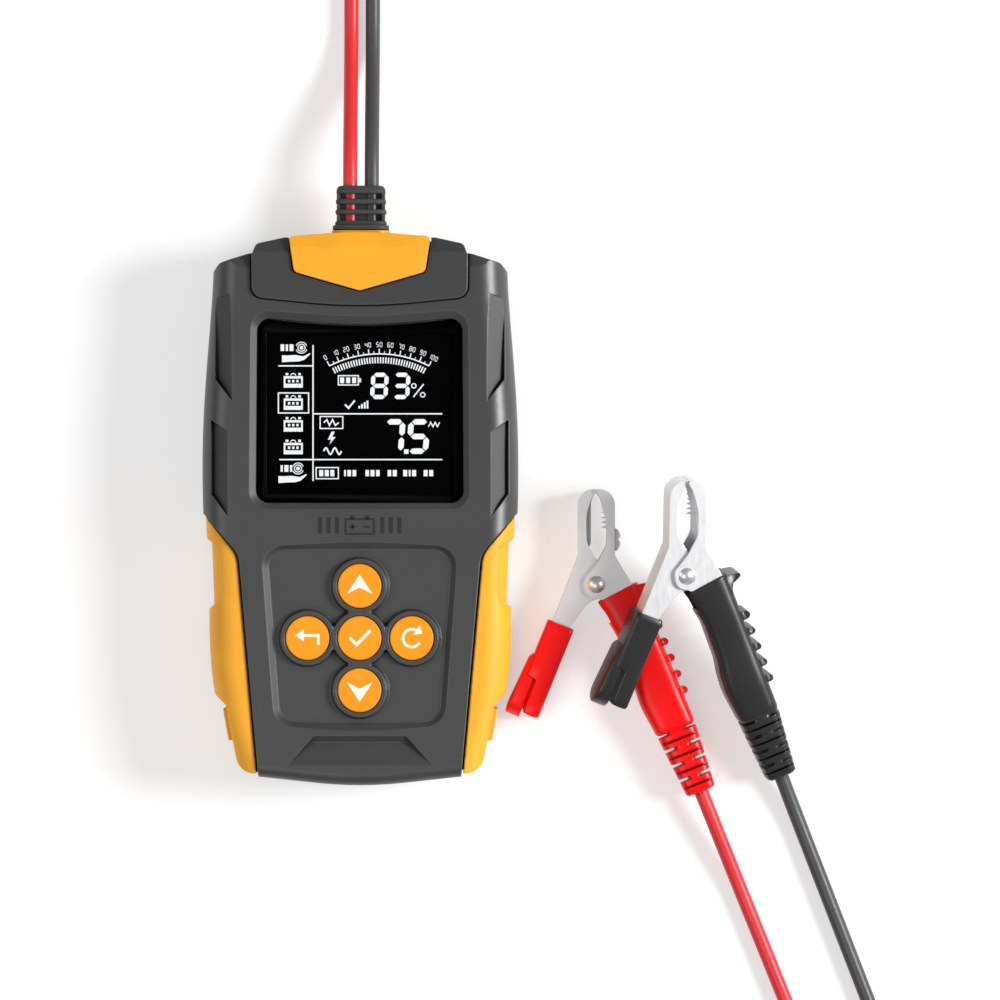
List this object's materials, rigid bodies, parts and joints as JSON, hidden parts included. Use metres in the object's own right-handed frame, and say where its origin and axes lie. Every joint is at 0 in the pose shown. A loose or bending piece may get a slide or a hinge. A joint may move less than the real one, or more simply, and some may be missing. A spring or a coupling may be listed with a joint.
{
  "type": "battery tester",
  "caption": "Handheld battery tester with a dark case, orange side grips, sunken keypad, display window, twin leads and two spring clamps.",
  "frame": {"origin": "centre of the tester's flat back face, which lies on the table", "axes": "+X to the user's right across the screen, +Y towards the end the leads come out of, +Z out of the screen"},
  "size_m": [0.2038, 0.2882, 0.0253],
  "materials": {
    "dark_abs": "fine matt texture",
    "orange_tpe": "soft matt",
    "orange_abs": "satin",
    "clear_lens": "gloss",
    "lcd_glass": "gloss",
    "white_plastic": "satin",
    "circuit_board": "satin",
    "chip_black": "matt",
    "resistor_cement": "matt",
    "steel": "bright rolled",
    "spring_steel": "drawn wire",
    "copper_crimp": "crimped",
    "rubber_dark": "soft matt",
    "red_pvc": "satin",
    "dark_pvc": "satin",
    "red_cable": "satin",
    "grey_cable": "satin"
  },
  "bodies": {
    "tester": {"front_shell": "dark_abs", "rear_shell": "dark_abs", "left_grip": "orange_tpe", "right_grip": "orange_tpe", "top_guard": "dark_abs", "top_badge": "orange_abs", "screen_lens": "clear_lens", "screen_panel": "lcd_glass", "screen_holder": "white_plastic", "backlight": "white_plastic", "main_board": "circuit_board", "board_screws": "steel", "case_screws": "steel", "load_resistors": "resistor_cement", "board_chips": "chip_black", "buzzer": "chip_black", "cable_clip": "dark_abs", "cable_grommet": "rubber_dark", "switch_bodies": "chip_black", "red_lead": "red_cable", "black_lead": "grey_cable"},
    "esc_button": {"esc_key": "orange_abs", "esc_switch_stem": "chip_black"},
    "enter_button": {"enter_key": "orange_abs", "enter_switch_stem": "chip_black"},
    "reset_button": {"reset_key": "orange_abs", "reset_switch_stem": "chip_black"},
    "up_button": {"up_key": "orange_abs", "up_switch_stem": "chip_black"},
    "down_button": {"down_key": "orange_abs", "down_switch_stem": "chip_black"},
    "red_clamp": {"red_fixed_jaw": "steel", "red_rivet": "steel", "red_spring": "spring_steel", "red_handle_boot": "red_pvc", "red_lead_crimp": "copper_crimp"},
    "red_jaw": {"red_moving_jaw": "steel", "red_lever_cap": "red_pvc"},
    "black_clamp": {"black_fixed_jaw": "steel", "black_rivet": "steel", "black_spring": "spring_steel", "black_handle_boot": "dark_pvc", "black_lead_crimp": "copper_crimp"},
    "black_jaw": {"black_moving_jaw": "steel", "black_lever_cap": "dark_pvc"}
  },
  "joints": [
    {"name": "esc_press", "type": "slide", "parent": "tester", "child": "esc_button", "axis": [0, 0, -1], "range_m": [0, 0.0008], "stiffness_N_per_m": 400},
    {"name": "enter_press", "type": "slide", "parent": "tester", "child": "enter_button", "axis": [0, 0, -1], "range_m": [0, 0.0008], "stiffness_N_per_m": 400},
    {"name": "reset_press", "type": "slide", "parent": "tester", "child": "reset_button", "axis": [0, 0, -1], "range_m": [0, 0.0008], "stiffness_N_per_m": 400},
    {"name": "up_press", "type": "slide", "parent": "tester", "child": "up_button", "axis": [0, 0, -1], "range_m": [0, 0.0008], "stiffness_N_per_m": 400},
    {"name": "down_press", "type": "slide", "parent": "tester", "child": "down_button", "axis": [0, 0, -1], "range_m": [0, 0.0008], "stiffness_N_per_m": 400},
    {"name": "lead_swing", "type": "hinge", "parent": "tester", "child": "red_clamp", "pos_m": [0.15, 0.105, 0], "axis": [0, 0, 1], "range_deg": [0, 15], "deforming": ["red_lead", "black_lead"]},
    {"name": "black_lift", "type": "hinge", "parent": "red_clamp", "child": "black_clamp", "pos_m": [0.09522, -0.05977, 0.00426], "axis": [0.667, 0.745, 0], "range_deg": [0, 16], "deforming": ["black_lead"]},
    {"name": "red_jaw_open", "type": "hinge", "parent": "red_clamp", "child": "red_jaw", "pos_m": [0.0534, -0.0171, 0.0051], "axis": [0, 0, 1], "range_deg": [0, 40], "stiffness_Nm_per_rad": 0.12, "deforming": ["red_spring"]},
    {"name": "black_jaw_open", "type": "hinge", "parent": "black_clamp", "child": "black_jaw", "pos_m": [0.0728, -0.01435, 0.01685], "axis": [0.1928, -0.1726, 0.9659], "range_deg": [0, 40], "stiffness_Nm_per_rad": 0.12, "deforming": ["black_spring"]}
  ],
  "couplings": [
    {"joint": "black_lift", "follows": "black_jaw_open", "ratio": 0.4}
  ]
}
